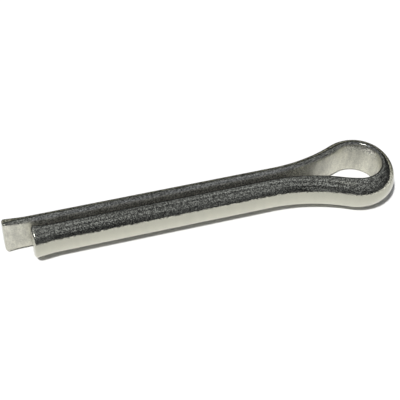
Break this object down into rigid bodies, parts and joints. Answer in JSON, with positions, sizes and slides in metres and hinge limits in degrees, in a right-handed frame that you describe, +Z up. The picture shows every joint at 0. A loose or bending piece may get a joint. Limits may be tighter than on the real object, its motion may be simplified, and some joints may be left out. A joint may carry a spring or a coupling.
{
  "type": "cotter pin",
  "caption": "Cotter pin of half-round wire folded back on itself, with a teardrop eye and legs of unequal length.",
  "frame": {"origin": "on the axis of the closed shank, where the short leg leaves the straight to flare into the eye", "axes": "+X along the shank towards the eye, +Y across the legs towards the long one, +Z up from the surface that the pin lies on"},
  "size_m": [0.0594, 0.0122, 0.0056],
  "materials": {
    "steel": "bright plated steel wire, fine speckled grain with a satin gloss"
  },
  "bodies": {
    "root": {"cotter_pin": "steel"}
  },
  "joints": []
}
